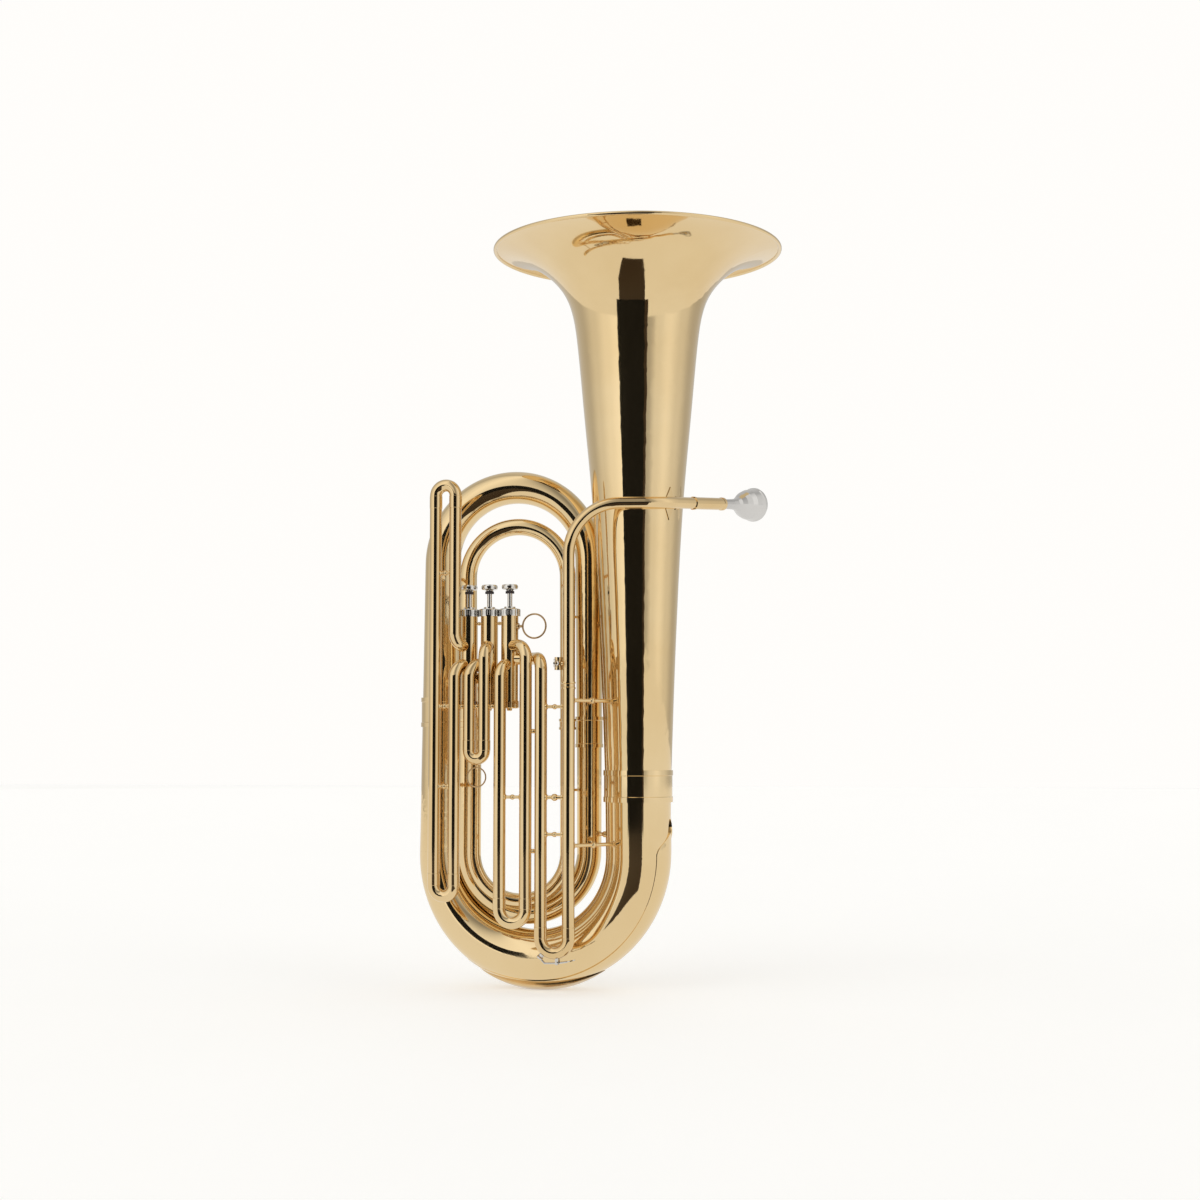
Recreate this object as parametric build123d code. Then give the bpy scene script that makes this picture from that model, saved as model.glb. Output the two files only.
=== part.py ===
from build123d import *
import math
import os

# A three-valve, top-action B flat tuba. Units are millimetres.
# Frame: origin at the centre of the flat rest face under the bottom bow, +Z up along the bell,
# +X in the plane of the wraps towards the bell, +Y away from the player's slides.

# ---- driving dimensions -------------------------------------------------------------------
WALL = 0.9                      # brass sheet of the large tubes
BELL_AT = (132.0, -19.0)        # vertical axis of the bell
BRANCH_AT = (-134.0, 19.0)      # vertical axis of the large left branch
T1_RIGHT = (64.0, 12.0)         # legs of the second loop
T1_LEFT = (-95.0, -2.0)
T2_RIGHT = (38.0, -6.0)         # legs of the first, innermost loop
T2_LEFT = (-81.0, -26.0)

BOW_TURN_Z = 174.0              # where the bottom bow's legs become straight
BRANCH_JOINT_Z = 356.0
BELL_JOINT_Z = 260.5
T1_JOINT_Z = 330.0
SMALL_JOINT_Z = 340.0
ARCH_TURN_Z = 554.5
INNER_ARCH_TURN_Z = 532.3
T1_TURN_Z = 176.0
T2_TURN_Z = 173.4

BELL_PROFILE = [                # outside radius and height of the bell's wall
    (42.3, BELL_JOINT_Z), (46.5, 386.0), (52.5, 520.0), (61.0, 650.0), (70.0, 745.0), (79.0, 838.0),
    (84.5, 872.0), (94.5, 899.0), (112.0, 922.0), (138.0, 942.0), (162.0, 952.0), (183.2, 957.0),
]
RIM_R = 185.75                  # bead round the bell's edge
RIM_Z = 957.45
RIM_WIRE_R = 2.5

CLUSTER_TURN = 7.0              # valves and slides stand in a plane turned this far about +Z
VALVE_B = -73.0                 # the valves' distance in front of the wraps
SLIDE_B = -93.0                 # the slides' distance in front of the wraps
VALVE_A = (-17.7, -45.0, -72.3)  # first, second and third valve along the cluster
CASING_R = 11.0
BORE_R = 10.0
CASING_Z = (366.0, 480.0)
UP_PORT_Z = 439.0
LOW_PORT_Z = 415.5
FEED_Z = 422.5
EXIT_Z = 398.0
PISTON_Z = (386.0, 470.0)
PISTON_R = 9.95
PRESS = 16.5
STEM_R = 3.1
BUTTON_Z = (509.0, 517.6)
BUTTON_R = 10.4

LEG_R = 7.8                     # outer slide legs
LEG_BORE_R = 7.2
SLIDE_R = 7.15                  # inner slide tubes, a running fit in the legs
SLIDE_BORE_R = 6.6
FERRULE_R = 8.1
REST_GAP = 0.3                  # between a slide's ferrule and the end of its leg

MAIN_A = (29.9, 65.9)
FIRST_A = (-24.1, 9.9)
SECOND_A = (-64.9, -44.9)
THIRD_A = (-111.2, -84.8)
MAIN_END_Z = 88.0
FIRST_END_Z = 123.0
SECOND_END_Z = 320.0
THIRD_LOW_Z = 152.0
THIRD_TOP_Z = 615.0
MAIN_TURN_Z = 73.6
FIRST_TURN_Z = 108.5
SECOND_TURN_Z = 305.8
THIRD_LOW_TURN_Z = 136.0
THIRD_TOP_TURN_Z = 632.0

LEADPIPE_R = 7.4
LEADPIPE_Z = 617.0
LEADPIPE_JOINT_Z = 387.0
RECEIVER_START = Vector(205.1, -36.0, 622.5)
MOUTH_DIR = Vector(73.7, 105.5, 9.5).normalized()
LEADPIPE_CORNER = RECEIVER_START - MOUTH_DIR * 59.0
RECEIVER_LEN = 61.0
SHANK_R = 5.9
SHANK_DEPTH = 26.0
MOUTHPIECE_OUT = 68.0

os.makedirs("parts", exist_ok=True)


# ---- helpers ------------------------------------------------------------------------------
def save(name, shape):
    """Write one sub-part."""
    export_step(shape, f"parts/{name}.step")


def at(a, b, z=0.0):
    """Turn the cluster's own coordinates into the part's frame."""
    turn = math.radians(CLUSTER_TURN)
    x = a * math.cos(turn) + b * math.sin(turn)
    y = -a * math.sin(turn) + b * math.cos(turn)
    return (x, y, z)


def rod(start, end, radius):
    """Solid cylinder between two points."""
    start = Vector(*start)
    end = Vector(*end)
    axis = end - start
    face = Plane(origin=start, z_dir=axis) * Circle(radius)
    return extrude(face, amount=axis.length)


def ring(x, y, z0, z1, outer, inner):
    """Upright hollow cylinder."""
    return rod((x, y, z0), (x, y, z1), outer) - rod((x, y, z0), (x, y, z1), inner)


def upright(profile, x, y):
    """Body of revolution about a vertical axis, from (radius, height) corners."""
    outline = Polyline(*[(r, 0, z) for r, z in profile], close=True)
    return Pos(x, y, 0) * revolve(make_face(outline), Axis.Z)


def tube(path, outer, inner):
    """Hollow tube along a path, and the core that fills it."""
    plane = Plane(origin=path @ 0, z_dir=path % 0)
    core = sweep(plane * Circle(inner), path=path)
    return sweep(plane * Circle(outer), path=path) - core, core


def bent(points, radii):
    """Path of straight runs joined by tangent arcs."""
    return FilletPolyline(*points, radius=radii)


class Loop:
    """A U of conical tube in an upright plane. side is -1 for a bow and +1 for an arch."""

    def __init__(self, left, right, left_z, right_z, turn_z, side, radii):
        self.left = Vector(*left, turn_z)
        self.right = Vector(*right, turn_z)
        self.span = self.right - self.left
        self.radius = self.span.length / 2
        self.centre = (self.left + self.right) * 0.5
        self.side = side
        self.normal = Vector(-self.span.Y, self.span.X, 0).normalized()
        self.ends = (left_z, right_z)
        self.radii = radii

    def path(self):
        start = Vector(self.left.X, self.left.Y, self.ends[0])
        end = Vector(self.right.X, self.right.Y, self.ends[1])
        crown = self.point(90)[0]
        return Wire([
            Line(start, self.left).edge(),
            ThreePointArc(self.left, crown, self.right).edge(),
            Line(self.right, end).edge(),
        ])

    def point(self, angle):
        """Point and direction on the arc, from 0 at the left leg to 180 at the right leg."""
        turn = math.radians(angle)
        along = self.span.normalized()
        up = Vector(0, 0, self.side)
        place = self.centre - along * (self.radius * math.cos(turn)) + up * (self.radius * math.sin(turn))
        return place, along * math.sin(turn) + up * math.cos(turn)

    def stations(self):
        """Place, direction and radius of each cross-section."""
        count = len(self.radii) - 3
        down = Vector(0, 0, self.side)
        start = Vector(self.left.X, self.left.Y, self.ends[0])
        end = Vector(self.right.X, self.right.Y, self.ends[1])
        rows = []
        for share in (0.0, 0.15, 0.5):
            radius = self.radii[0] + (self.radii[1] - self.radii[0]) * share
            rows.append((start + (self.left - start) * share, down, radius))
        for i in range(count + 1):
            rows.append((*self.point(180 * i / count), self.radii[1 + i]))
        for share in (0.5, 0.85, 1.0):
            radius = self.radii[-2] + (self.radii[-1] - self.radii[-2]) * share
            rows.append((self.right + (end - self.right) * share, down * -1, radius))
        return rows

    def filled(self, shrink=0.0):
        """The loop as a solid bar."""
        faces = []
        for place, way, radius in self.stations():
            faces.append(Plane(origin=place, x_dir=self.normal, z_dir=way) * Circle(radius - shrink))
        return sweep(faces, path=self.path(), multisection=True)

    def shell(self):
        """The loop as a tube."""
        return self.filled() - self.filled(WALL)


# ---- large tubes --------------------------------------------------------------------------
BOTTOM = Loop(BRANCH_AT, BELL_AT, BRANCH_JOINT_Z, BELL_JOINT_Z, BOW_TURN_Z, -1,
              (25.6, 28.2, 32.4, 36.0, 39.0, 41.5, 42.3))
OUTER = Loop(BRANCH_AT, T1_RIGHT, BRANCH_JOINT_Z, T1_JOINT_Z, ARCH_TURN_Z, 1,
             (25.6, 23.2, 22.2, 21.2, 19.8, 18.4, 16.3))
SECOND = Loop(T1_LEFT, T1_RIGHT, SMALL_JOINT_Z, T1_JOINT_Z, T1_TURN_Z, -1,
              (12.4, 13.4, 14.1, 14.8, 15.4, 15.9, 16.3))
INNER = Loop(T1_LEFT, T2_RIGHT, SMALL_JOINT_Z, SMALL_JOINT_Z, INNER_ARCH_TURN_Z, 1,
             (12.4, 11.3, 11.0, 10.8, 10.5, 10.2, 9.5))
FIRST = Loop(T2_LEFT, T2_RIGHT, SMALL_JOINT_Z, SMALL_JOINT_Z, T2_TURN_Z, -1,
             (9.0, 9.2, 9.3, 9.4, 9.4, 9.5, 9.5))


def bell_curve():
    """Outside of the bell's wall, from its lower end to the rim."""
    return Spline(*[(r, 0, z) for r, z in BELL_PROFILE], tangents=[(0.03, 0, 1), (1, 0, 0.13)])


def bell_radius(z):
    """Outside radius of the bell at a height."""
    curve = bell_curve()
    low, high = 0.0, 1.0
    for _ in range(30):
        middle = (low + high) / 2
        if (curve @ middle).Z < z:
            low = middle
        else:
            high = middle
    return (curve @ low).X


def bell_band(z0, z1, grow, steps=6):
    """Corners up the bell's outside between two heights, grown outwards."""
    heights = [z0 + (z1 - z0) * i / steps for i in range(steps + 1)]
    return [(bell_radius(z) + grow, z) for z in heights]


def bell_plug(z, reach=10.0):
    """Solid that fills the bell near a height."""
    return upright([(0, z - reach), *bell_band(z - reach, z + reach, 0.02), (0, z + reach)], *BELL_AT)


def make_bell():
    """Thin bell wall, open at both ends."""
    outer = bell_curve()
    points = []
    for i in range(25):
        share = i / 24
        way = outer % share
        points.append(outer @ share + Vector(-way.Z, 0, way.X) * WALL)
    inner = Spline(*points, tangents=[outer % 0, outer % 1])
    edges = [outer.edge(), Line(outer @ 1, inner @ 1).edge(),
             inner.edge(), Line(inner @ 0, outer @ 0).edge()]
    return Pos(*BELL_AT) * revolve(make_face(edges), Axis.Z)


def make_rim():
    """Wire bead round the bell's edge."""
    return Pos(*BELL_AT, RIM_Z) * Torus(RIM_R, RIM_WIRE_R)


def sleeve(x, y, bore, thick, bead):
    """Ferrule with a raised bead at each end. bore lists (radius, height) from the bottom up."""
    inner = [(r + 0.03, z) for r, z in bore]
    wide = max(r for r, _ in bore) + thick
    low = bore[0][1]
    high = bore[-1][1]
    outer = [(wide + 0.8, high), (wide + 0.8, high - bead), (wide, high - bead - 0.6),
             (wide, low + bead + 0.6), (wide + 0.8, low + bead), (wide + 0.8, low)]
    return upright(inner + outer, x, y)


def leg_radius(loop, is_right, z):
    """Outside radius of a loop's straight leg at a height."""
    outer, turn = (loop.radii[-1], loop.radii[-2]) if is_right else (loop.radii[0], loop.radii[1])
    end = loop.ends[1 if is_right else 0]
    share = (z - loop.left.Z) / (end - loop.left.Z)
    return turn + (outer - turn) * share


def make_ferrules():
    """The five ferrules that join the loops."""
    rows = [
        (BRANCH_AT, BOTTOM, OUTER, False, BRANCH_JOINT_Z, 337.0, 375.5, 1.1, 5.5),
        (T1_RIGHT, SECOND, OUTER, True, T1_JOINT_Z, 310.0, 350.0, 1.0, 4.5),
        (T1_LEFT, SECOND, INNER, False, SMALL_JOINT_Z, 333.0, 347.0, 0.8, 3.0),
        (T2_RIGHT, FIRST, INNER, True, SMALL_JOINT_Z, 333.0, 347.0, 0.8, 3.0),
    ]
    rings = []
    for place, below, above, is_right, joint, low, high, thick, bead in rows:
        bore = [(leg_radius(below, is_right, low), low), (leg_radius(below, is_right, joint), joint),
                (leg_radius(above, is_right, high), high)]
        rings.append(sleeve(*place, bore, thick, bead))
    bore = [(leg_radius(FIRST, False, 333.0), 333.0), (9.0, SMALL_JOINT_Z), (9.0, 347.0)]
    rings.append(sleeve(*T2_LEFT, bore, 0.8, 3.0))
    return Compound(rings)


def make_bell_ferrule():
    """Wide ferrule between the bottom bow and the bell."""
    bore = [(leg_radius(BOTTOM, True, 240.5), 240.5), (BELL_PROFILE[0][0], BELL_JOINT_Z), (43.0, 281.0)]
    return sleeve(*BELL_AT, bore, 0.9, 6.5)


def cut(shape, tools):
    """Subtract every tool from a shape and keep its largest solid."""
    for tool in tools:
        shape = shape - tool
    return max(shape.solids(), key=lambda solid: solid.volume)


# ---- bow guard and rest -------------------------------------------------------------------
def sector(place, way, normal, r_in, r_out, half):
    """Slice of a ring centred on the bow's outer side, spread over plus and minus half degrees."""
    plane = Plane(origin=place, x_dir=Vector(normal).cross(way), z_dir=way)
    turn = math.radians(half)
    outer = [(r_out * math.cos(s * turn), r_out * math.sin(s * turn)) for s in (-1, 0, 1)]
    inner = [(r_in * math.cos(s * turn), r_in * math.sin(s * turn)) for s in (-1, 0, 1)]
    edges = [
        ThreePointArc(*outer).edge(), Line(outer[2], inner[2]).edge(),
        ThreePointArc(*inner[::-1]).edge(), Line(inner[0], outer[0]).edge(),
    ]
    return plane * make_face(edges)


def bow_band(first, last, thicks, widths):
    """Band laid on the outside of the bottom bow between two angles of its arc."""
    count = len(widths) - 1
    faces = []
    for i in range(count + 1):
        angle = first + (last - first) * i / count
        place, way = BOTTOM.point(angle)
        radius = bow_radius(angle)
        faces.append(sector(place, way, BOTTOM.normal, radius - 1.5, radius + thicks[i], widths[i]))
    ends = [BOTTOM.point(first)[0], BOTTOM.point((first + last) / 2)[0], BOTTOM.point(last)[0]]
    return sweep(faces, path=Wire([ThreePointArc(*ends).edge()]), multisection=True)


def bow_radius(angle):
    """Outside radius of the bottom bow at an angle of its arc."""
    values = BOTTOM.radii[1:-1]
    step = 180 / (len(values) - 1)
    low = min(int(angle // step), len(values) - 2)
    share = angle / step - low
    return values[low] * (1 - share) + values[low + 1] * share


GUARD_THICK = 0.9
GUARD_HALF = 41.0
GUARD_HALVES = (12.0, 36.0, 41.0, 41.0, 41.0, 41.0, 41.0, 41.0, GUARD_HALF)
GUARD_SPAN = (56.0, 180.0)
GUARD_TIP_Z = 219.0
BUMPER_THICKS = (1.5, 4.0, 5.4, 5.4, 4.0, 1.5)
BUMPER_HALF = (6.0, 24.0, 30.0, 30.0, 24.0, 6.0)
BUMPER_SPAN = (63.0, 121.0)


def guard_tip(leg, radius_low, radius_high, start_z):
    """Pointed end of the guard, running up one leg of the bow."""
    x, y = leg
    outward = Vector(x, y, 0).normalized()
    normal = Vector(0, 0, 1).cross(outward)
    rows = [(start_z, GUARD_HALF), (start_z + 8, 36.0), (start_z + 20, 16.0), (GUARD_TIP_Z, 2.0)]
    faces = []
    for z, half in rows:
        share = (z - start_z) / (GUARD_TIP_Z - start_z)
        radius = radius_low + (radius_high - radius_low) * share
        face = sector(Vector(x, y, z), Vector(0, 0, 1), normal, radius - 1.5, radius + GUARD_THICK, half)
        faces.append(face)
    return loft(faces)


def make_guard(bow):
    """Thin guard over the outside of the bottom bow, with a pointed end up the bell's leg."""
    band = bow_band(*GUARD_SPAN, [GUARD_THICK] * len(GUARD_HALVES), GUARD_HALVES)
    low = bow_radius(180)
    tip = guard_tip(BELL_AT, low, low + 0.4, BOW_TURN_Z)
    return cut(cut(band, [bow]) + cut(tip, [bow]), [])


def make_bumper(bow, guard):
    """Thick rest under the bow, cut flat at the origin's plane."""
    band = bow_band(*BUMPER_SPAN, BUMPER_THICKS, BUMPER_HALF)
    floor = Pos(0, 0, -50) * Box(400, 400, 100)
    return cut(band, [bow, guard, floor])


# ---- valves -------------------------------------------------------------------------------
def valve(n):
    """Plan position of a valve, numbered from 0."""
    x, y, _ = at(VALVE_A[n], VALVE_B)
    return x, y


def casing_bar(n):
    return rod((*valve(n), CASING_Z[0]), (*valve(n), CASING_Z[1]), CASING_R)


def make_casings(cores):
    """Valve casings, pierced where tubes join them."""
    shells = []
    for n in range(3):
        shell = ring(*valve(n), *CASING_Z, CASING_R, BORE_R)
        shells.append(cut(shell, cores))
    return Compound(shells)


def make_top_cap(n):
    """Screwed cap with a raised collar round the stem."""
    top = CASING_Z[1]
    profile = [(STEM_R + 0.25, top), (STEM_R + 0.25, top + 9), (7.2, top + 9), (7.2, top + 7.6),
               (9.0, top + 7), (12.9, top + 6.2), (13.7, top + 5.4), (13.7, top - 3.0),
               (CASING_R + 0.02, top - 3.0), (CASING_R + 0.02, top)]
    return knurl(upright(profile, *valve(n)), *valve(n), 13.9, top - 1.6, top + 4.2)


def knurl(shape, x, y, radius, z0, z1, count=28, size=0.55):
    """Cut small upright grooves round a rim."""
    for i in range(count):
        turn = 2 * math.pi * i / count
        px = x + radius * math.cos(turn)
        py = y + radius * math.sin(turn)
        shape = shape - rod((px, py, z0), (px, py, z1), size)
    return shape


def make_bottom_cap(n):
    """Screwed cap with a small nipple, closing the casing from below."""
    low = CASING_Z[0]
    profile = [(0, low - 9.5), (2.6, low - 9.5), (3.4, low - 8.6), (3.4, low - 7), (11.0, low - 6.4),
               (11.9, low - 5.4), (11.9, low + 3.0), (CASING_R + 0.02, low + 3.0),
               (CASING_R + 0.02, low), (8.8, low), (8.8, low - 3.4), (0, low - 3.4)]
    return knurl(upright(profile, *valve(n)), *valve(n), 12.1, low - 4.6, low + 2.0)


def make_piston(n):
    """Hollow-ended piston with a slanted through passage and two elbows."""
    a = VALVE_A[n]
    bottom, top = PISTON_Z
    body = rod((*valve(n), bottom), (*valve(n), top), PISTON_R)
    body = body - rod((*valve(n), bottom), (*valve(n), bottom + 1.5), 8.6)
    body = body - rod((*valve(n), top - 8), (*valve(n), top), 7.6)
    body = body + rod((*valve(n), top - 9), (*valve(n), top), STEM_R + 2.4)
    body = body - rod(at(a + 12, VALVE_B, FEED_Z), at(a - 12, VALVE_B, EXIT_Z), 5.2)
    lift = PRESS
    for start, end in (((a + 12, VALVE_B, FEED_Z + lift), (a, SLIDE_B, UP_PORT_Z + lift)),
                       ((a, SLIDE_B, LOW_PORT_Z + lift), (a - 12, VALVE_B, EXIT_Z + lift))):
        middle = at(a, VALVE_B, (start[2] + end[2]) / 2)
        body = body - rod(at(*start), middle, 3.4) - rod(middle, at(*end), 3.4)
    return cut(body, [])


def make_stem(n):
    """Stem screwed into the piston, with the washer that stops on the cap."""
    top = PISTON_Z[1]
    profile = [(0, top), (6.4, top), (6.4, top + 2.4), (STEM_R, top + 2.4),
               (STEM_R, BUTTON_Z[0]), (0, BUTTON_Z[0])]
    return upright(profile, *valve(n))


def make_button(n):
    """Round finger button, slightly dished on top."""
    low, high = BUTTON_Z
    profile = [(0, low), (4.2, low), (5.0, low + 1.6), (8.6, low + 2.2), (10.0, low + 3.0),
               (BUTTON_R, low + 4.4), (BUTTON_R, low + 6.6), (9.6, high - 0.4), (8.4, high),
               (7.4, high - 0.5), (0, high - 1.1)]
    return upright(profile, *valve(n))


def make_felt(n):
    """Felt ring under the button's boss."""
    low = BUTTON_Z[0]
    return ring(*valve(n), low - 2.8, low, 5.6, STEM_R)


def make_spring(n):
    """Open coil spring between the bottom cap and the piston."""
    low = CASING_Z[0] - 3.4
    height = PISTON_Z[0] + 1.5 - low - 1.2
    coil = Pos(*valve(n), low + 0.6) * Helix(pitch=height / 7, height=height, radius=7.6)
    face = Plane(origin=coil @ 0, z_dir=coil % 0) * Circle(0.5)
    return sweep(face, path=coil, is_frenet=True)


# ---- fixed slide legs ---------------------------------------------------------------------
def leg(a, start_z, port_z, n, bend):
    """A slide leg that ends by turning back into a valve."""
    path = bent([at(a, SLIDE_B, start_z), at(a, SLIDE_B, port_z), at(VALVE_A[n], VALVE_B, port_z)], bend)
    shell, core = tube(path, LEG_R, LEG_BORE_R)
    return shell, core


def straight_leg(a, z0, z1):
    return ring(*at(a, SLIDE_B)[:2], z0, z1, LEG_R, LEG_BORE_R)


def make_fixed_tubes():
    """All outer slide legs, and the cores that pierce the casings."""
    cores = []
    sets = {}

    def into_valve(name, a, start_z, port_z, n, bend):
        shell, core = leg(a, start_z, port_z, n, bend)
        sets.setdefault(name, []).append(cut(shell, [casing_bar(n)]))
        cores.append(core)

    into_valve("first_slide_legs", FIRST_A[1], FIRST_END_Z, UP_PORT_Z, 0, 17.0)
    into_valve("first_slide_legs", FIRST_A[0], FIRST_END_Z, LOW_PORT_Z, 0, 17.0)
    into_valve("second_slide_legs", SECOND_A[1], SECOND_END_Z, UP_PORT_Z, 1, 17.0)
    into_valve("second_slide_legs", SECOND_A[0], SECOND_END_Z, LOW_PORT_Z, 1, 17.0)
    into_valve("third_slide_legs", THIRD_A[1], THIRD_LOW_Z, LOW_PORT_Z, 2, 17.0)
    into_valve("third_slide_legs", THIRD_A[1], THIRD_TOP_Z, UP_PORT_Z, 2, 17.0)
    sets["third_slide_legs"].append(straight_leg(THIRD_A[0], THIRD_LOW_Z, THIRD_TOP_Z))

    feed = bent([at(MAIN_A[0], SLIDE_B, MAIN_END_Z), at(MAIN_A[0], SLIDE_B, FEED_Z),
                 at(16.0, VALVE_B, FEED_Z), at(VALVE_A[0], VALVE_B, FEED_Z)], [15.0, 14.0])
    shell, core = tube(feed, LEG_R, LEG_BORE_R)
    sets["main_slide_legs"] = [cut(shell, [casing_bar(0)]),
                               straight_leg(MAIN_A[1], MAIN_END_Z, LEADPIPE_JOINT_Z)]
    cores.append(core)
    return sets, cores


def make_exit(cores):
    """Tube from the third valve's back down to the first loop."""
    x, y = valve(2)
    path = bent([(x, y, EXIT_Z), (*T2_LEFT, EXIT_Z), (*T2_LEFT, SMALL_JOINT_Z)], 18.0)
    shell, core = tube(path, LEG_R, LEG_BORE_R - 0.2)
    cores.append(core)
    taper = upright([(LEG_R - 0.8, SMALL_JOINT_Z), (9.0, SMALL_JOINT_Z), (LEG_R, SMALL_JOINT_Z + 16),
                     (LEG_R - 0.8, SMALL_JOINT_Z + 16)], *T2_LEFT)
    return cut(shell + taper, [casing_bar(2), core])


def make_knuckles(cores):
    """Short tubes and ball stays between neighbouring casings."""
    pieces = []
    for n in (0, 1):
        start = at(VALVE_A[n], VALVE_B, EXIT_Z)
        end = at(VALVE_A[n + 1], VALVE_B, EXIT_Z)
        core = rod(start, end, 6.4)
        cores.append(core)
        pieces.append(cut(rod(start, end, 7.0), [core, casing_bar(n), casing_bar(n + 1)]))
        left = at(VALVE_A[n], VALVE_B, 468.0)
        right = at(VALVE_A[n + 1], VALVE_B, 468.0)
        pieces.append(ball_stay(left, right, [casing_bar(n), casing_bar(n + 1)], 1.6, 2.4))
    return Compound(pieces)


# ---- moving slides ------------------------------------------------------------------------
def slide_parts(pair, end_z, turn_z, reach, side):
    """Inner tubes with their ferrules, and the crook that joins them. side is -1 for a bow."""
    start_z = end_z + side * REST_GAP
    left = at(pair[0], SLIDE_B)[:2]
    right = at(pair[1], SLIDE_B)[:2]
    tubes = []
    for x, y in (left, right):
        low, high = sorted((turn_z, end_z - side * reach))
        tubes.append(ring(x, y, low, high, SLIDE_R, SLIDE_BORE_R))
        low, high = sorted((turn_z, start_z))
        tubes.append(ferrule(x, y, low, high))
    middle = ((left[0] + right[0]) / 2, (left[1] + right[1]) / 2)
    radius = (pair[1] - pair[0]) / 2
    arc = ThreePointArc((*left, turn_z), (*middle, turn_z + side * radius), (*right, turn_z))
    crook, _ = tube(arc, LEG_R, SLIDE_BORE_R)
    return Compound(tubes), crook


def ferrule(x, y, low, high):
    """Plain ring with a fine groove near each end."""
    groove = 0.25
    neck = FERRULE_R - groove
    profile = [(SLIDE_R, low), (neck, low), (neck, low + 0.5), (FERRULE_R, low + 0.8),
               (FERRULE_R, high - 0.8), (neck, high - 0.5), (neck, high), (SLIDE_R, high)]
    return upright(profile, x, y)


# ---- braces -------------------------------------------------------------------------------
def spindle(start, end, waist, foot, ball):
    """Turned stay: a foot at each end, a slim rod and a ball in the middle."""
    start = Vector(*start)
    end = Vector(*end)
    axis = end - start
    length = axis.length
    profile = [(0, 0), (foot, 0), (foot, 1.2), (waist, 2.6), (waist, length / 2 - ball * 0.8)]
    steps = 6
    for i in range(steps + 1):
        turn = math.radians(-55 + 110 * i / steps)
        profile.append((max(ball * math.cos(turn), waist), length / 2 + ball * math.sin(turn)))
    profile += [(waist, length / 2 + ball * 0.8), (waist, length - 2.6), (foot, length - 1.2), (foot, length),
                (0, length)]
    outline = Polyline(*[(r, 0, z) for r, z in tidy(profile)], close=True)
    return Plane(origin=start, z_dir=axis).location * revolve(make_face(outline), Axis.Z)


def tidy(points):
    """Drop points that fall back along the axis or repeat."""
    kept = [points[0]]
    for r, z in points[1:-1]:
        if z > kept[-1][1] + 1e-6 or (abs(z - kept[-1][1]) < 1e-6 and abs(r - kept[-1][0]) > 1e-6):
            kept.append((r, z))
    kept.append(points[-1])
    return kept


def leg_bar(a):
    x, y, _ = at(a, SLIDE_B)
    return rod((x, y, 40), (x, y, 700), LEG_R)


def cross_brace(a0, a1, z, waist=2.2, foot=3.6, ball=3.4):
    """Stay between two slide legs at one height, trimmed to their walls."""
    reach = LEG_R - 1.2
    stay = spindle(at(a0 + reach, SLIDE_B, z), at(a1 - reach, SLIDE_B, z), waist, foot, ball)
    return cut(stay, [leg_bar(a0), leg_bar(a1)])


def make_leg_braces():
    """Small ball stays between neighbouring slides."""
    rows = [(THIRD_A[1], SECOND_A[0], 362.0), (SECOND_A[0], SECOND_A[1], 362.0),
            (SECOND_A[1], FIRST_A[0], 362.0), (FIRST_A[1], MAIN_A[0], 330.5), (FIRST_A[1], MAIN_A[0], 181.0)]
    stays = []
    for a0, a1, z in rows:
        stays.append(ball_stay(at(a0, SLIDE_B, z), at(a1, SLIDE_B, z), [leg_bar(a0), leg_bar(a1)]))
    return Compound(stays)


def make_spindles():
    """Turned stays between the two legs of each slide."""
    rows = [(*THIRD_A, 532.5, 2.4, 3.8, 3.6), (*THIRD_A, 362.5, 2.4, 3.8, 3.6),
            (*THIRD_A, 261.0, 2.4, 3.8, 3.6), (*FIRST_A, 248.0, 2.1, 4.0, 3.4),
            (*MAIN_A, 361.0, 2.1, 4.2, 3.4), (*MAIN_A, 248.0, 2.3, 4.4, 4.6), (*MAIN_A, 202.0, 2.1, 4.2, 3.4)]
    return Compound([cross_brace(*row) for row in rows])


def between(start, r_start, end, r_end, tools, waist=2.4, foot=5.2, ball=4.2, sink=1.5):
    """Turned stay from one tube's wall to another's."""
    start = Vector(*start)
    end = Vector(*end)
    way = (end - start).normalized()
    piece = spindle(start + way * (r_start - sink), end - way * (r_end - sink), waist, foot, ball)
    return cut(piece, tools)


def ball_stay(start, end, tools, waist=1.9, ball=3.0):
    """Short stay: a rod with a ball in the gap between two tubes close together."""
    start = Vector(*start)
    end = Vector(*end)
    axis = end - start
    length = axis.length
    profile = [(0, 0), (waist, 0)]
    for i in range(9):
        turn = math.radians(-60 + 15 * i)
        profile.append((max(ball * math.cos(turn), waist), length / 2 + ball * math.sin(turn)))
    profile += [(waist, length), (0, length)]
    return cut(along(start, axis, tidy(profile)), tools)


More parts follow.
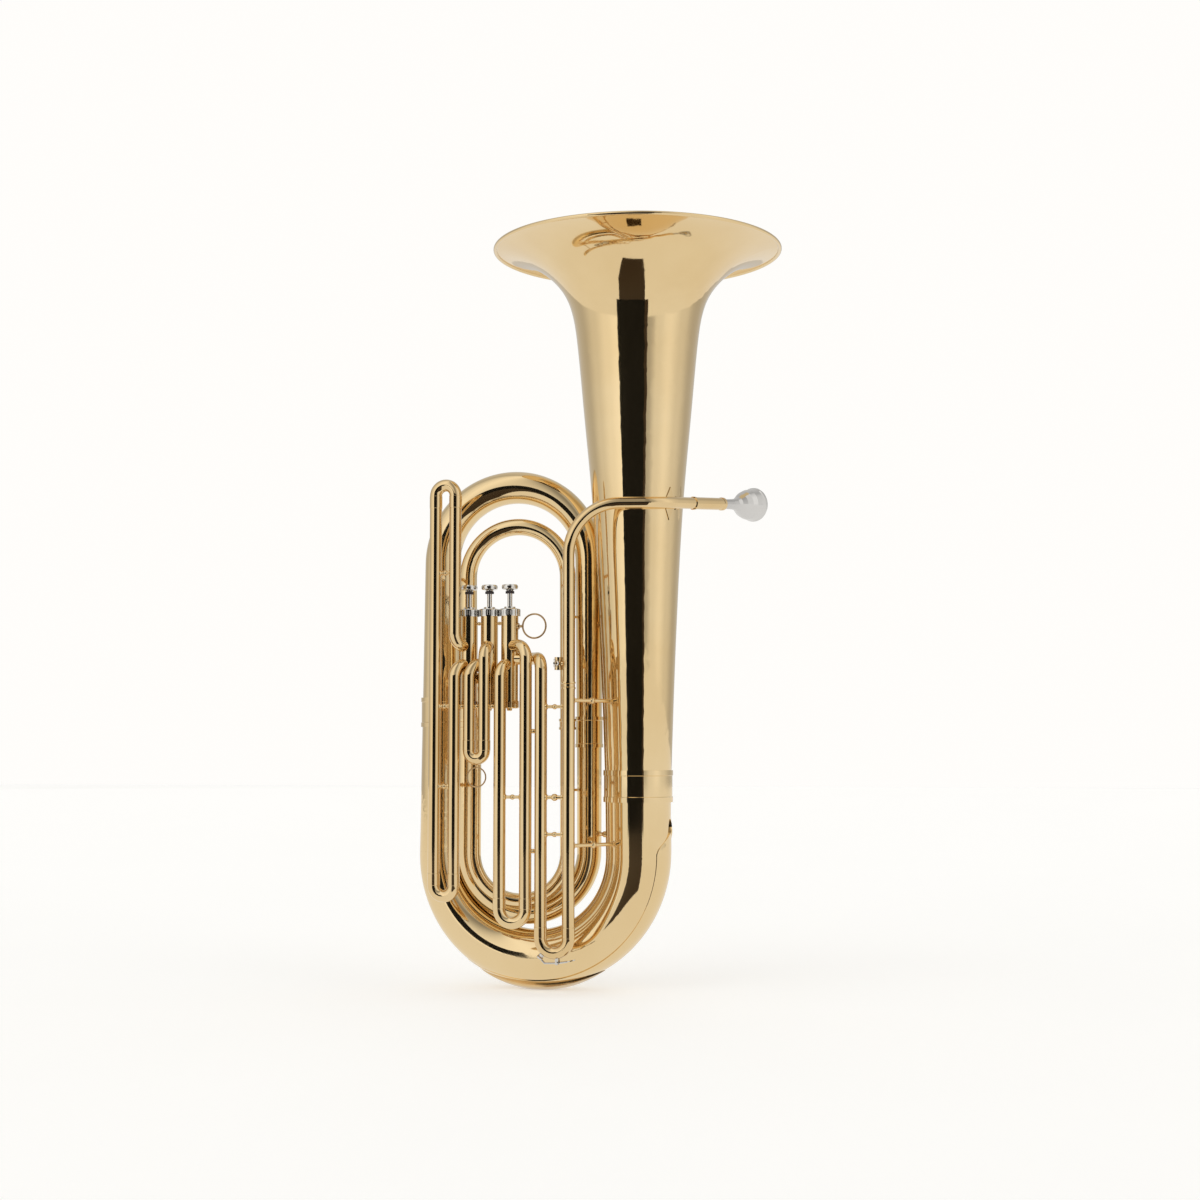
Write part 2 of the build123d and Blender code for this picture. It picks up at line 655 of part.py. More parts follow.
def make_stays(bars):
    """Stays that tie the slides, the wraps and the bell together."""
    main_right = at(MAIN_A[1], SLIDE_B)[:2]
    third_left = at(THIRD_A[0], SLIDE_B)[:2]
    branch = bars["outer"]
    bow = bars["bottom"]
    pieces = [
        between((*main_right, 369.0), LEG_R, (*BELL_AT, 369.0), bell_radius(369),
                [leg_bar(MAIN_A[1]), bell_plug(369)]),
        between((*main_right, 188.0), LEG_R, (*BELL_AT, 188.0), 41.6, [leg_bar(MAIN_A[1]), bow]),
        between((*T1_RIGHT, 198.0), 15.9, (*BELL_AT, 198.0), 41.6, [bars["second"], bow]),
        between((*T1_RIGHT, 470.0), 17.3, (*BELL_AT, 470.0), bell_radius(470), [branch, bell_plug(470)]),
        between((*third_left, 532.5), LEG_R, (*BRANCH_AT, 532.5), 23.5, [leg_bar(THIRD_A[0]), branch]),
        between((*third_left, 261.0), LEG_R, (*BRANCH_AT, 261.0), 27.0, [leg_bar(THIRD_A[0]), bow]),
    ]
    short = [(T1_LEFT, BRANCH_AT, 255.0, bars["second"], bow),
             (T2_LEFT, T1_LEFT, 255.0, bars["first"], bars["second"]),
             (T2_RIGHT, T1_RIGHT, 255.0, bars["first"], bars["second"]),
             (T1_LEFT, BRANCH_AT, 480.0, bars["inner"], branch),
             (T2_RIGHT, T1_RIGHT, 480.0, bars["inner"], branch)]
    for left, right, z, bar_left, bar_right in short:
        pieces.append(ball_stay((*left, z), (*right, z), [bar_left, bar_right], 1.8, 2.2))
    return Compound(pieces)


# ---- leadpipe and mouthpiece --------------------------------------------------------------
def make_leadpipe():
    """Tube from the main slide round the front of the bell to the receiver."""
    foot = at(MAIN_A[1], SLIDE_B, LEADPIPE_JOINT_Z)
    corner = (foot[0], foot[1], LEADPIPE_Z)
    path = bent([foot, corner, tuple(LEADPIPE_CORNER), tuple(RECEIVER_START)], [65.0, 52.0])
    shell, core = tube(path, LEADPIPE_R, LEADPIPE_R - 0.8)
    joint = LEADPIPE_JOINT_Z
    collar = sleeve(foot[0], foot[1], [(LEG_R, joint - 4), (LEG_R, joint + 5)], 0.3, 2.0)
    bar = sweep(Plane(origin=path @ 0, z_dir=path % 0) * Circle(LEADPIPE_R), path=path)
    return shell, collar, bar


def along(start, way, profile):
    """Body of revolution about a slanted axis, from (radius, distance) corners."""
    outline = Polyline(*[(r, 0, z) for r, z in profile], close=True)
    return Plane(origin=start, z_dir=way).location * revolve(make_face(outline), Axis.Z)


def make_receiver():
    """Socket for the mouthpiece's shank, with a bead at each end."""
    socket = RECEIVER_LEN - SHANK_DEPTH - 2
    bore = SHANK_R + 0.05
    profile = [(LEADPIPE_R - 0.8, 0), (8.5, 0), (8.5, 3.2), (7.8, 3.8), (7.8, RECEIVER_LEN - 5.2),
               (8.5, RECEIVER_LEN - 4.4), (8.5, RECEIVER_LEN - 0.6), (8.0, RECEIVER_LEN), (bore, RECEIVER_LEN),
               (bore, socket), (5.2, socket), (5.2, 20)]
    return along(RECEIVER_START, MOUTH_DIR, profile)


def make_mouthpiece():
    """Cup mouthpiece. Distances are from the receiver's mouth."""
    outer = [(SHANK_R, -SHANK_DEPTH), (SHANK_R, 0.5), (6.3, 2.0), (6.7, 18.0), (7.6, 26.0)]
    flare = [(9.6, 31.0), (13.4, 36.5), (17.2, 43.0), (19.6, 50.0), (20.6, 57.0), (21.2, 60.5)]
    rim = [(22.3, 62.5), (22.4, 65.0), (21.6, 67.2), (20.0, MOUTHPIECE_OUT), (18.2, 67.3), (16.8, 65.0)]
    cup = [(16.2, 60.0), (15.6, 52.0), (13.8, 44.0), (10.0, 37.5), (6.0, 33.5), (4.1, 30.5), (4.0, 27.0)]
    bore = [(4.4, 5.0), (4.9, -SHANK_DEPTH)]
    start = RECEIVER_START + MOUTH_DIR * RECEIVER_LEN
    return along(start, MOUTH_DIR, outer + flare + rim + cup + bore)


def make_saddle(pipe):
    """Diamond plate on the bell with a post that holds the leadpipe."""
    run = LEADPIPE_CORNER + MOUTH_DIR * 25.0
    out = Vector(run.X - BELL_AT[0], run.Y - BELL_AT[1], 0).normalized()
    centre = Vector(*BELL_AT, run.Z) + out * 50.0
    plane = Plane(origin=centre, x_dir=Vector(0, 0, 1), z_dir=out)
    diamond = extrude(plane * Polygon((-21, 0), (0, -9.5), (21, 0), (0, 9.5), align=None), amount=16)
    low, high = run.Z - 23, run.Z + 23
    plate = upright(bell_band(low, high, 0.02) + bell_band(low, high, 1.2)[::-1], *BELL_AT) & diamond
    post = rod(tuple(centre), tuple(centre + out * 18.0), 4.2)
    return cut(plate + post, [bell_plug(run.Z, 23), pipe])


# ---- small fittings -----------------------------------------------------------------------
RING_AT = (14.9, VALVE_B, 464.0)
RING_R = 15.3
RING_WIRE_R = 1.15


def make_thumb_ring():
    """Wire ring for the thumb, with its foot on the first valve's casing."""
    centre = at(*RING_AT)
    facing = Vector(*at(0, 1)) - Vector(*at(0, 0))
    hoop = Plane(origin=centre, z_dir=facing).location * Torus(RING_R, RING_WIRE_R)
    left = RING_AT[0] - RING_R
    foot = rod(at(VALVE_A[0] + CASING_R - 1, VALVE_B, RING_AT[2]), at(left - 0.4, VALVE_B, RING_AT[2]), 1.7)
    pad = rod(at(VALVE_A[0] + CASING_R - 1, VALVE_B, RING_AT[2]),
              at(VALVE_A[0] + CASING_R + 1.2, VALVE_B, RING_AT[2]), 4.2)
    return cut(hoop + foot + pad, [casing_bar(0)])


LYRE_A = 52.6
LYRE_B = -92.0
LYRE_Z = (407.0, 423.0)
LYRE_BORE_R = 3.0


def make_lyre_holder(pipe):
    """Upright socket beside the leadpipe, tapped for a thumb screw."""
    x, y, _ = at(LYRE_A, LYRE_B)
    socket = rod((x, y, LYRE_Z[0]), (x, y, LYRE_Z[1]), 5.0)
    web = rod(at(LYRE_A + 3, LYRE_B, 415.0), at(MAIN_A[1] - 3, SLIDE_B, 415.0), 3.0)
    boss = rod(at(LYRE_A, LYRE_B, 415.0), at(LYRE_A, LYRE_B - 7.5, 415.0), 3.4)
    body = socket + web + boss
    body = body - rod((x, y, LYRE_Z[0] - 1), (x, y, LYRE_Z[1] + 1), LYRE_BORE_R)
    body = body - rod(at(LYRE_A, LYRE_B, 415.0), at(LYRE_A, LYRE_B - 9, 415.0), 1.65)
    return cut(body, [pipe])


def make_lyre_screw():
    """Thumb screw with a flat, rounded grip."""
    start = Vector(*at(LYRE_A, LYRE_B - LYRE_BORE_R - 0.4, 415.0))
    way = Vector(*at(0, -1)) - Vector(*at(0, 0))
    profile = [(0, 0), (1.6, 0), (1.6, 5.6), (2.9, 5.6), (3.2, 7.4), (2.2, 8.4), (1.8, 9.6), (0, 9.6)]
    shank = along(start, way, profile)
    plane = Plane(origin=start + way * 13.0, x_dir=Vector(0, 0, 1), z_dir=way.cross(Vector(0, 0, 1)))
    grip = extrude(plane * Ellipse(5.4, 4.2), amount=0.9, both=True)
    return shank + grip


KEY_A = (MAIN_A[0] + MAIN_A[1]) / 2
KEY_R = (MAIN_A[1] - MAIN_A[0]) / 2
NIPPLE_TURN = 38.0              # the spit hole's place on the crook, from its lowest point
PIVOT_DROP = 4.6                # the key's pivot below the crook's wall


def crook_point(turn, distance):
    """Point at a distance from the crook's centre, turned from straight down towards the left leg."""
    angle = math.radians(turn)
    return at(KEY_A - distance * math.sin(angle), SLIDE_B, MAIN_TURN_Z - distance * math.cos(angle))


def make_key_seat():
    """Nipple over the spit hole, and the two posts that carry the key's screw."""
    wall = KEY_R + LEG_R
    nipple = rod(crook_point(NIPPLE_TURN, wall - 1.5), crook_point(NIPPLE_TURN, wall + 2.2), 3.2)
    nipple = nipple - rod(crook_point(NIPPLE_TURN, wall - 3), crook_point(NIPPLE_TURN, wall + 3), 1.8)
    ends = [at(a, SLIDE_B, MAIN_TURN_Z) for a in MAIN_A]
    crook = ThreePointArc(ends[0], crook_point(0, KEY_R), ends[1])
    bar = sweep(Plane(origin=crook @ 0, z_dir=crook % 0) * Circle(LEG_R), path=crook)
    pieces = [cut(nipple, [bar])]
    pivot = pivot_point()
    for side in (-1, 1):
        b = SLIDE_B + side * 3.6
        post = rod(at(pivot[0], b - 0.7, pivot[2]), at(pivot[0], b + 0.7, pivot[2]), 2.2)
        top = rod(at(pivot[0], b, pivot[2]), at(pivot[0], b, pivot[2] + 9.0), 0.7)
        block = Plane(origin=at(pivot[0], b, pivot[2] + 3.4), x_dir=Vector(*at(1, 0)), z_dir=(0, 0, 1)).location
        body = post + top + block * Box(4.0, 1.4, 6.8)
        body = body - rod(at(pivot[0], b - 2, pivot[2]), at(pivot[0], b + 2, pivot[2]), 0.95)
        pieces.append(cut(body, [bar]))
    return Compound(pieces)


def pivot_point():
    """Cluster coordinates of the key's pivot."""
    angle = math.radians(-8.0)
    distance = KEY_R + LEG_R + PIVOT_DROP
    return (KEY_A - distance * math.sin(angle), SLIDE_B, MAIN_TURN_Z - distance * math.cos(angle))


def make_key_screw():
    """Pivot screw across the two posts."""
    a, b, z = pivot_point()
    pin = rod(at(a, b - 4.6, z), at(a, b + 4.6, z), 0.9)
    head = rod(at(a, b - 5.9, z), at(a, b - 4.35, z), 1.9)
    return pin + head


def make_key_lever():
    """Lever with a cup over the nipple and a spoon for the finger."""
    a, b, z = pivot_point()
    wall = KEY_R + LEG_R
    hub = rod(at(a, b - 2.5, z), at(a, b + 2.5, z), 2.3)
    cup_in = Vector(*crook_point(NIPPLE_TURN, wall + 3.9))
    cup_out = Vector(*crook_point(NIPPLE_TURN, wall + 5.6))
    cup = rod(tuple(cup_in), tuple(cup_out), 4.0)
    mid_left = at(KEY_A - 12.5, b, MAIN_TURN_Z - wall - 4.9)
    arm = rod(at(a, b, z), mid_left, 1.25) + rod(mid_left, tuple(cup_out - (cup_out - cup_in) * 0.5), 1.25)
    arm = arm + (Pos(*mid_left) * Sphere(1.25))
    reach = at(a + 13.0, b, z + 2.0)
    handle = rod(at(a, b, z), reach, 1.25)
    spoon_frame = Plane(origin=at(a + 17.0, b, z + 3.1), x_dir=Vector(*at(1, 0)), z_dir=(0, 0, 1)).location
    spoon = spoon_frame * Rotation(0, -14, 0) * extrude(Ellipse(6.0, 4.2), amount=0.6, both=True)
    body = hub + cup + arm + handle + spoon
    body = body - rod(at(a, b - 4, z), at(a, b + 4, z), 0.95)
    return cut(body, [make_key_cork()])


def make_key_cork():
    """Cork pad held in the key's cup, resting just off the nipple."""
    wall = KEY_R + LEG_R
    return rod(crook_point(NIPPLE_TURN, wall + 2.3), crook_point(NIPPLE_TURN, wall + 3.9), 3.6)


EYE_A = (SECOND_A[0] + SECOND_A[1]) / 2
EYE_Z = SECOND_TURN_Z - (SECOND_A[1] - SECOND_A[0]) / 2 - LEG_R - 2.6
PULL_R = 12.2
PULL_WIRE_R = 0.9
PULL_TURN = 35.0


def pull_direction():
    """Level direction in the plane of the pull ring."""
    turn = math.radians(PULL_TURN)
    return Vector(*at(math.cos(turn), math.sin(turn))) - Vector(*at(0, 0))


def make_eyelet():
    """Small eye under the second slide's crook."""
    centre = Vector(*at(EYE_A, SLIDE_B, EYE_Z))
    eye = Plane(origin=centre, z_dir=pull_direction()).location * Torus(2.5, 0.8)
    shank = rod(tuple(centre + Vector(0, 0, 2.4)), tuple(centre + Vector(0, 0, 5.0)), 1.2)
    return eye + shank


def make_pull_ring():
    """Wire ring that hangs in the eye."""
    drop = PULL_R - (2.5 - 0.8 - PULL_WIRE_R - 0.15) * -1
    centre = Vector(*at(EYE_A, SLIDE_B, EYE_Z - drop))
    normal = pull_direction().cross(Vector(0, 0, 1))
    return Plane(origin=centre, z_dir=normal).location * Torus(PULL_R, PULL_WIRE_R)


# ---- build --------------------------------------------------------------------------------
def build_horn():
    """Bell, loops, ferrules and guard."""
    bars = {"bottom": BOTTOM.filled(), "outer": OUTER.filled(), "second": SECOND.filled(),
            "inner": INNER.filled(), "first": FIRST.filled()}
    bell = make_bell()
    save("bell", bell)
    save("bell_rim_bead", make_rim())
    save("bell_ferrule", make_bell_ferrule())
    save("bottom_bow", BOTTOM.shell())
    save("outer_arch", OUTER.shell())
    save("second_bow", SECOND.shell())
    save("inner_arch", INNER.shell())
    save("first_bow", FIRST.shell())
    guard = make_guard(bars["bottom"])
    save("bow_guard", guard)
    save("bottom_bumper", make_bumper(bars["bottom"], guard))
    save("loop_ferrules", make_ferrules())
    return bars


def build_valves():
    """Casings, caps, pistons and the fixed tubes that meet them."""
    sets, cores = make_fixed_tubes()
    save("valve_exit_tube", make_exit(cores))
    save("valve_knuckles", make_knuckles(cores))
    save("valve_casings", make_casings(cores))
    save("valve_top_caps", Compound([make_top_cap(n) for n in range(3)]))
    save("valve_bottom_caps", Compound([make_bottom_cap(n) for n in range(3)]))
    for name, shells in sets.items():
        save(name, Compound(shells))
    for n in range(3):
        save(f"valve_{n + 1}_piston", make_piston(n))
        save(f"valve_{n + 1}_stem", make_stem(n))
        save(f"valve_{n + 1}_button", make_button(n))
        save(f"valve_{n + 1}_felt", make_felt(n))
        save(f"valve_{n + 1}_spring", make_spring(n))


def build_slides():
    """The five tuning slides and what is on them."""
    rows = [("main_slide", MAIN_A, MAIN_END_Z, MAIN_TURN_Z, 118.0, -1),
            ("first_slide", FIRST_A, FIRST_END_Z, FIRST_TURN_Z, 105.0, -1),
            ("second_slide", SECOND_A, SECOND_END_Z, SECOND_TURN_Z, 62.0, -1),
            ("third_lower_slide", THIRD_A, THIRD_LOW_Z, THIRD_LOW_TURN_Z, 95.0, -1),
            ("third_upper_slide", THIRD_A, THIRD_TOP_Z, THIRD_TOP_TURN_Z, 95.0, 1)]
    for name, pair, end_z, turn_z, reach, side in rows:
        tubes, crook = slide_parts(pair, end_z, turn_z, reach, side)
        if name == "main_slide":
            wall = KEY_R + LEG_R
            crook = crook - rod(crook_point(NIPPLE_TURN, KEY_R), crook_point(NIPPLE_TURN, wall + 2), 1.8)
        if name == "second_slide":
            crook = cut(crook + (make_eyelet() - second_crook_bar()), [])
        save(f"{name}_tubes", tubes)
        save(f"{name}_crook", crook)
    save("second_slide_ring", make_pull_ring())
    save("water_key_seat", make_key_seat())
    save("water_key_screw", make_key_screw())
    save("water_key_lever", make_key_lever())
    save("water_key_cork", make_key_cork())


def second_crook_bar():
    """The second slide's crook as a solid bar."""
    left, right = (at(a, SLIDE_B, SECOND_TURN_Z) for a in SECOND_A)
    low = at(EYE_A, SLIDE_B, SECOND_TURN_Z - (SECOND_A[1] - SECOND_A[0]) / 2)
    arc = ThreePointArc(left, low, right)
    return sweep(Plane(origin=arc @ 0, z_dir=arc % 0) * Circle(SLIDE_BORE_R + 0.4), path=arc)


def build_fittings(bars):
    """Leadpipe, mouthpiece, stays and small fittings."""
    leadpipe, collar, pipe = make_leadpipe()
    save("leadpipe", Compound([leadpipe, collar]))
    save("mouthpiece_receiver", make_receiver())
    save("mouthpiece", make_mouthpiece())
    save("leadpipe_saddle", make_saddle(pipe))
    save("thumb_ring", make_thumb_ring())
    save("lyre_holder", make_lyre_holder(pipe))
    save("lyre_screw", make_lyre_screw())
    save("ball_stays", make_leg_braces())
    save("turned_stays", make_spindles())
    save("body_stays", make_stays(bars))


build_fittings(build_horn())
build_valves()
build_slides()
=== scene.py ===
import math

import bpy
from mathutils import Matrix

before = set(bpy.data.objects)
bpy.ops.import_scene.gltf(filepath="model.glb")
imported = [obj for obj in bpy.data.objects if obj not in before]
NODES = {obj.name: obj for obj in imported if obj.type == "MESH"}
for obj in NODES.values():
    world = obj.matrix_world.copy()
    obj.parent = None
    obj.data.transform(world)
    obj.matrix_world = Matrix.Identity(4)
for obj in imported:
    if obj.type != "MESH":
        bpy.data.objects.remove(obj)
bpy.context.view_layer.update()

# ---- finishes, as (light tone, deep tone, roughness, coat) --------------------------------
FINISHES = {
    "brass": ((0.89, 0.70, 0.41), (0.82, 0.61, 0.32), 0.05, 0.2),
    "brass_tube": ((0.87, 0.67, 0.38), (0.78, 0.56, 0.28), 0.05, 0.2),
    "brass_rest": ((0.74, 0.54, 0.29), (0.60, 0.42, 0.22), 0.14, 0.15),
    "bronze_wire": ((0.60, 0.42, 0.22), (0.44, 0.29, 0.14), 0.12, 0.1),
    "nickel": ((0.84, 0.82, 0.78), (0.66, 0.64, 0.60), 0.06, 0.0),
    # silver plate of the mouthpiece: a real plated finish, but both its tones are set darker than the
    # nickel's as painted shade
    "plate_with_painted_shade": ((0.78, 0.77, 0.75), (0.55, 0.54, 0.53), 0.08, 0.0),
    "steel": ((0.62, 0.61, 0.60), (0.48, 0.47, 0.46), 0.22, 0.0),
}
LARGE_TUBES = ("bell", "bell_rim_bead", "bell_ferrule", "bottom_bow", "outer_arch", "second_bow",
               "inner_arch", "first_bow", "loop_ferrules", "bow_guard")
NICKEL_NODES = ("valve_top_caps", "lyre_screw", "water_key_lever", "water_key_seat", "water_key_screw")
WIRE_NODES = ("thumb_ring", "second_slide_ring")
CLOUD_SCALE = 6.0               # slow change of tone over a tube
MARK_SCALE = 60.0               # wiping marks and the lacquer's orange peel
PEEL_STRENGTH = 0.005
PEEL_DEPTH = 0.0003


def new_material(name):
    """Material with an empty node tree but for its output and shader."""
    material = bpy.data.materials.new(name)
    material.use_nodes = True
    tree = material.node_tree
    return material, tree, tree.nodes["Principled BSDF"]


def noise(tree, coords, scale, detail=4.0, stretch=(1.0, 1.0, 1.0)):
    """Noise texture in the piece's own coordinates, in metres."""
    mapping = tree.nodes.new("ShaderNodeMapping")
    mapping.inputs["Scale"].default_value = stretch
    texture = tree.nodes.new("ShaderNodeTexNoise")
    texture.inputs["Scale"].default_value = scale
    texture.inputs["Detail"].default_value = detail
    tree.links.new(coords, mapping.inputs["Vector"])
    tree.links.new(mapping.outputs["Vector"], texture.inputs["Vector"])
    return texture.outputs["Fac"]


def spread(tree, value, low, high):
    """Map the middle of a noise to a range."""
    node = tree.nodes.new("ShaderNodeMapRange")
    node.inputs["From Min"].default_value = 0.3
    node.inputs["From Max"].default_value = 0.7
    node.inputs["To Min"].default_value = low
    node.inputs["To Max"].default_value = high
    tree.links.new(value, node.inputs["Value"])
    return node.outputs["Result"]


def mix_tones(tree, factor, first, second):
    """Colour between two tones."""
    node = tree.nodes.new("ShaderNodeMix")
    node.data_type = "RGBA"
    node.inputs["A"].default_value = (*first, 1.0)
    node.inputs["B"].default_value = (*second, 1.0)
    tree.links.new(factor, node.inputs["Factor"])
    return node.outputs["Result"]


def bump(tree, shader, height, strength, distance):
    """Small relief on a shader."""
    node = tree.nodes.new("ShaderNodeBump")
    node.inputs["Strength"].default_value = strength
    node.inputs["Distance"].default_value = distance
    tree.links.new(height, node.inputs["Height"])
    tree.links.new(node.outputs["Normal"], shader.inputs["Normal"])


def metal(name, finish):
    """Polished metal with clouded tone, wiping marks and a faint orange peel in its lacquer."""
    light, deep, rough, coat = FINISHES[finish]
    material, tree, shader = new_material(name)
    coords = tree.nodes.new("ShaderNodeTexCoord").outputs["Object"]
    cloud = spread(tree, noise(tree, coords, CLOUD_SCALE), 0.0, 1.0)
    marks = noise(tree, coords, MARK_SCALE, 5.0, (1.0, 1.0, 0.12))
    shader.inputs["Metallic"].default_value = 1.0
    shader.inputs["Coat Weight"].default_value = coat
    shader.inputs["Coat Roughness"].default_value = 0.03
    tree.links.new(mix_tones(tree, cloud, light, deep), shader.inputs["Base Color"])
    tree.links.new(spread(tree, marks, rough * 0.7, rough * 1.5), shader.inputs["Roughness"])
    bump(tree, shader, noise(tree, coords, MARK_SCALE, 1.0), PEEL_STRENGTH, PEEL_DEPTH)
    return material


def soft(name, light, deep, scale, rough, relief):
    """Felt or cork: two tones in grains, with real relief."""
    material, tree, shader = new_material(name)
    coords = tree.nodes.new("ShaderNodeTexCoord").outputs["Object"]
    grain = noise(tree, coords, scale, 6.0)
    tree.links.new(mix_tones(tree, spread(tree, grain, 0.0, 1.0), light, deep), shader.inputs["Base Color"])
    tree.links.new(spread(tree, grain, rough, 1.0), shader.inputs["Roughness"])
    bump(tree, shader, grain, 0.6, relief)
    return material


def finish_of(node):
    """Name of the finish a CAD node takes."""
    if node.endswith("spring"):
        return "steel"
    if node in NICKEL_NODES or node.endswith(("piston", "stem", "button")):
        return "nickel"
    if node == "mouthpiece":
        # the mouthpiece's plate finish is partly its own grey and partly painted shade in its darker tones
        return "plate_with_painted_shade"
    if node in WIRE_NODES:
        return "bronze_wire"
    if node == "bottom_bumper":
        return "brass_rest"
    return "brass" if node in LARGE_TUBES else "brass_tube"


def dress_nodes():
    """Give every CAD node its material."""
    felt = soft("felt", (0.060, 0.045, 0.045), (0.020, 0.016, 0.016), 900.0, 0.85, 0.0004)
    cork = soft("cork", (0.52, 0.35, 0.20), (0.26, 0.16, 0.09), 700.0, 0.75, 0.0003)
    made = {}
    for name, piece in NODES.items():
        if name.endswith("felt"):
            material = felt
        elif name.endswith("cork"):
            material = cork
        else:
            finish = finish_of(name)
            if finish not in made:
                made[finish] = metal(finish, finish)
            material = made[finish]
        for place in piece.material_slots:
            place.material = material


# ---- studio -------------------------------------------------------------------------------
CAMERA_AT = (0.4286, -2.4817, 0.3135)
CAMERA_TURN = 8.0
CAMERA_PITCH = 4.3
LENS_MM = 57.75
CARD_RADIUS = 3.2
CARD_LEFT = -38.5
CARD_RIGHT = 12.0
CARD_TOP = 1.2
CARD_CENTRE = (0.13, -0.02)
WORLD_STOPS = (                 # turn from the camera's side in degrees, and brightness
    (-180, 0.62), (-120, 0.52), (-90, 0.74), (-62, 0.94), (-40, 1.06), (11, 0.28),
    (20, 0.46), (38, 0.80), (62, 0.94), (90, 0.74), (125, 0.50), (180, 0.62),
)
WORLD_LIGHT = 1.0
WORLD_SEEN = 1.0
FLOOR_MIRRORED = 0.86           # brightness of the floor in reflections
FLOOR_HALF = 12.0
FLOOR_TONE = (0.92, 0.92, 0.91)
FLOOR_GLOW = 0.38
MIRROR_Z = 0.001                # sheets that only reflections see lie just over the floor
FLOOR_CARD_Z = 0.003
FLOOR_CARD_LEFT = -34.0
FLOOR_CARD_NEAR = 0.4
SOFT_EDGE = 5.0                 # width in degrees of the front card's softer right edge
RAMP_SCALE = 0.5                # keeps the ramp's colours below one


def flat_material(name, colour, strength=0.0, rough=0.8):
    """Plain studio surface with a faint mottle."""
    material, tree, shader = new_material(name)
    coords = tree.nodes.new("ShaderNodeTexCoord").outputs["Object"]
    cloud = spread(tree, noise(tree, coords, 2.0), 0.0, 1.0)
    deep = tuple(c * 0.985 for c in colour)
    tone = mix_tones(tree, cloud, colour, deep)
    tree.links.new(tone, shader.inputs["Base Color"])
    shader.inputs["Roughness"].default_value = rough
    if strength:
        shader.inputs["Emission Color"].default_value = (*colour, 1.0)
        shader.inputs["Emission Strength"].default_value = strength
    return material


def mirrored_floor():
    """Even glow that the floor shows in reflections."""
    material, tree, shader = new_material("floor_tone")
    coords = tree.nodes.new("ShaderNodeTexCoord").outputs["Object"]
    cloud = spread(tree, noise(tree, coords, 0.8), 0.0, 1.0)
    glow = mix_tones(tree, cloud, (1.0, 0.985, 0.96), (0.97, 0.95, 0.92))
    tree.links.new(glow, shader.inputs["Emission Color"])
    shader.inputs["Emission Strength"].default_value = FLOOR_MIRRORED
    shader.inputs["Base Color"].default_value = (0.0, 0.0, 0.0, 1.0)
    shader.inputs["Specular IOR Level"].default_value = 0.0
    shader.inputs["Roughness"].default_value = 1.0
    return material


def mesh_object(name, points, faces, material):
    """Mesh object from points and faces, put on the stage."""
    mesh = bpy.data.meshes.new(name)
    mesh.from_pydata(points, [], faces)
    mesh.materials.append(material)
    thing = bpy.data.objects.new(name, mesh)
    bpy.context.scene.collection.objects.link(thing)
    return thing


def around(angle, radius, z):
    """Point round the object, with 0 towards the camera and positive to the camera's right."""
    turn = math.radians(CAMERA_TURN + angle)
    return (CARD_CENTRE[0] + radius * math.sin(turn), CARD_CENTRE[1] - radius * math.cos(turn), z)


def mirrored_sheet(name, left, right, first_edge, second_edge, material, steps):
    """Sheet between two arcs, each given as a radius and a height, that only reflections see."""
    points = []
    for i in range(steps + 1):
        angle = left + (right - left) * i / steps
        points += [around(angle, *first_edge), around(angle, *second_edge)]
    faces = [(2 * i, 2 * i + 2, 2 * i + 3, 2 * i + 1) for i in range(steps)]
    sheet = mesh_object(name, points, faces, material)
    sheet.visible_camera = False
    sheet.visible_diffuse = False
    sheet.visible_shadow = False


def math_node(tree, operation, first, second=None):
    """Arithmetic on two sockets or numbers."""
    node = tree.nodes.new("ShaderNodeMath")
    node.operation = operation
    for value, place in ((first, 0), (second, 1)):
        if isinstance(value, (int, float)):
            node.inputs[place].default_value = value
        elif value is not None:
            tree.links.new(value, node.inputs[place])
    return node.outputs["Value"]


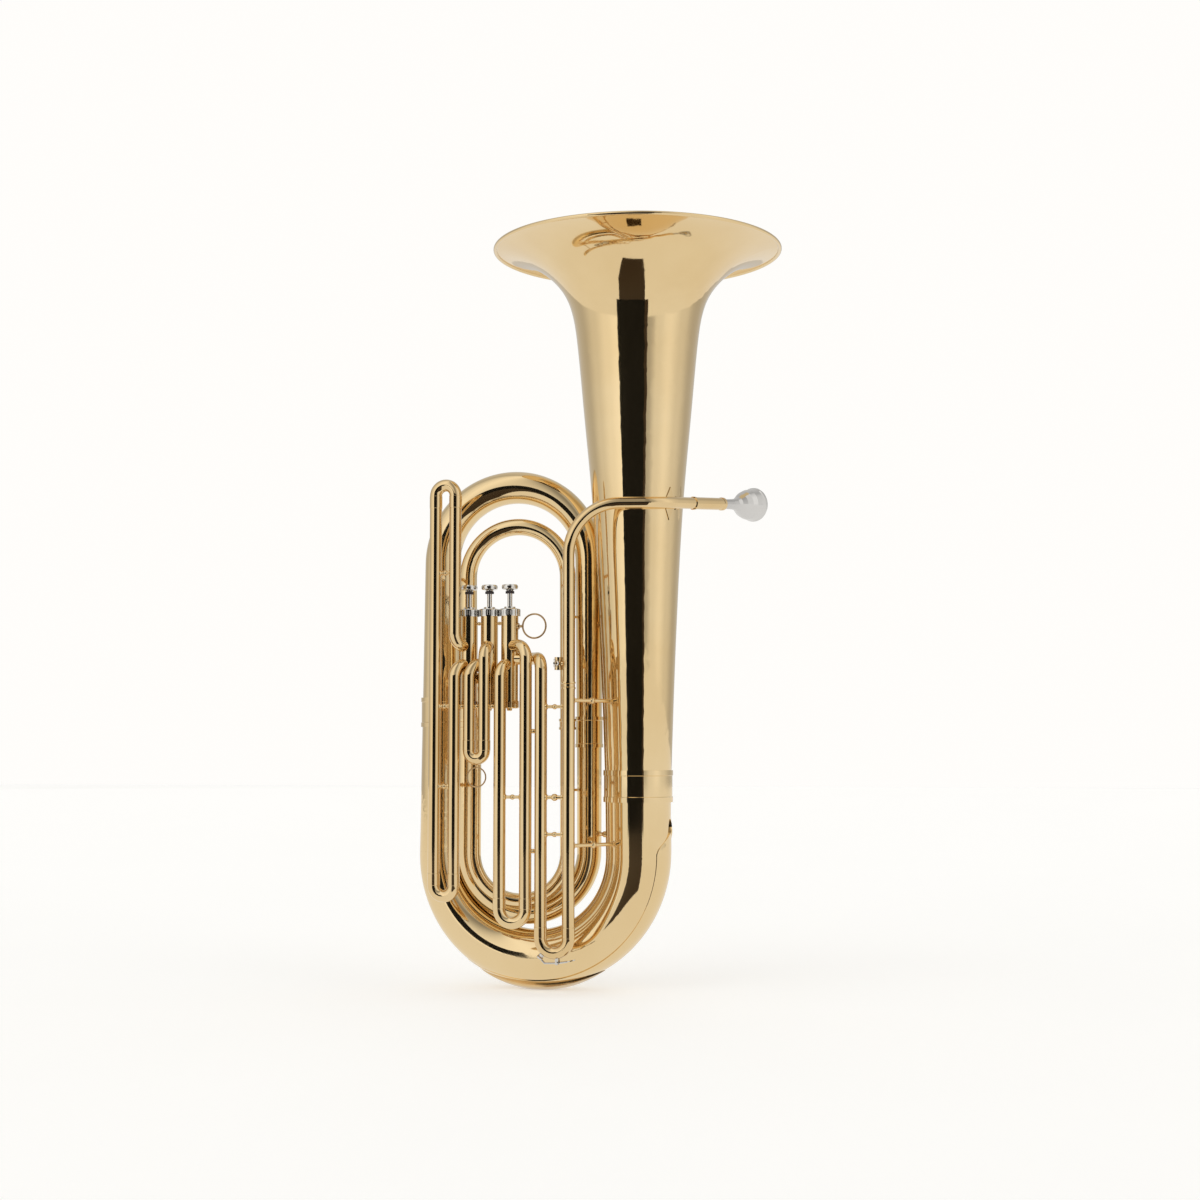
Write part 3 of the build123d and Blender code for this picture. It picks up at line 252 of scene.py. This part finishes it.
def build_world():
    """Tent of soft light round the object: bright to the sides of the camera, dimmer behind."""
    world = bpy.data.worlds.new("world")
    world.use_nodes = True
    tree = world.node_tree
    background = tree.nodes["Background"]
    background.inputs["Color"].default_value = (1.0, 0.985, 0.96, 1.0)
    way = tree.nodes.new("ShaderNodeSeparateXYZ")
    tree.links.new(tree.nodes.new("ShaderNodeTexCoord").outputs["Generated"], way.inputs["Vector"])
    turn = math_node(tree, "ARCTAN2", way.outputs["X"], math_node(tree, "MULTIPLY", way.outputs["Y"], -1.0))
    round_share = math_node(tree, "MULTIPLY", turn, 0.5 / math.pi)
    share = math_node(tree, "ADD", round_share, 0.5 - CAMERA_TURN / 360.0)
    ramp = tree.nodes.new("ShaderNodeValToRGB")
    ramp.color_ramp.interpolation = "EASE"
    tree.links.new(math_node(tree, "FRACT", share), ramp.inputs["Fac"])
    stops = ramp.color_ramp.elements
    while len(stops) > 1:
        stops.remove(stops[-1])
    for i, (angle, bright) in enumerate(WORLD_STOPS):
        place = (angle + 180.0) / 360.0
        stop = stops[0] if i == 0 else stops.new(place)
        stop.position = place
        stop.color = (*[bright * RAMP_SCALE] * 3, 1.0)
    lit = math_node(tree, "MULTIPLY", ramp.outputs["Color"], WORLD_LIGHT / RAMP_SCALE)
    seen = tree.nodes.new("ShaderNodeLightPath").outputs["Is Camera Ray"]
    extra = math_node(tree, "MULTIPLY", seen, math_node(tree, "SUBTRACT", WORLD_SEEN, lit))
    tree.links.new(math_node(tree, "ADD", lit, extra), background.inputs["Strength"])
    bpy.context.scene.world = world


def build_floor():
    """Pale floor, and the even glow that stands for it in reflections."""
    corners = [(-FLOOR_HALF, -FLOOR_HALF, 0), (FLOOR_HALF, -FLOOR_HALF, 0),
               (FLOOR_HALF, FLOOR_HALF, 0), (-FLOOR_HALF, FLOOR_HALF, 0)]
    floor = flat_material("floor", FLOOR_TONE, FLOOR_GLOW)
    ground = mesh_object("floor", corners, [(0, 1, 2, 3)], floor)
    ground.visible_glossy = False
    mirrored_sheet("floor_mirrored", -180.0, 180.0, (0.0, MIRROR_Z), (FLOOR_HALF, MIRROR_Z),
                   mirrored_floor(), 72)


def build_studio():
    """Floor, a tent of light, and the dark cards that give the tubes their black edge."""
    build_floor()
    black = flat_material("black_card", (0.004, 0.004, 0.004), rough=1.0)
    brown = flat_material("brown_card", (0.05, 0.032, 0.018), rough=1.0)
    foot, top = (CARD_RADIUS, 0.0), (CARD_RADIUS, CARD_TOP)
    mirrored_sheet("card_front", CARD_LEFT, CARD_RIGHT, foot, top, black, 16)
    mirrored_sheet("card_soft", CARD_RIGHT, CARD_RIGHT + SOFT_EDGE, foot, top, brown, 16)
    mirrored_sheet("card_floor", FLOOR_CARD_LEFT, CARD_RIGHT, (FLOOR_CARD_NEAR, FLOOR_CARD_Z),
                   (CARD_RADIUS, FLOOR_CARD_Z), brown, 12)
    build_world()


def place_camera():
    """Camera at the front, a little to the right and below the middle."""
    camera = bpy.data.cameras.new("camera")
    camera.lens = LENS_MM
    camera.sensor_width = 36.0
    camera.clip_end = 50.0
    thing = bpy.data.objects.new("camera", camera)
    bpy.context.scene.collection.objects.link(thing)
    thing.location = CAMERA_AT
    thing.rotation_euler = (math.radians(90.0 + CAMERA_PITCH), 0.0, math.radians(CAMERA_TURN))
    bpy.context.scene.camera = thing
    bpy.context.scene.view_settings.view_transform = "Standard"


dress_nodes()
build_studio()
place_camera()
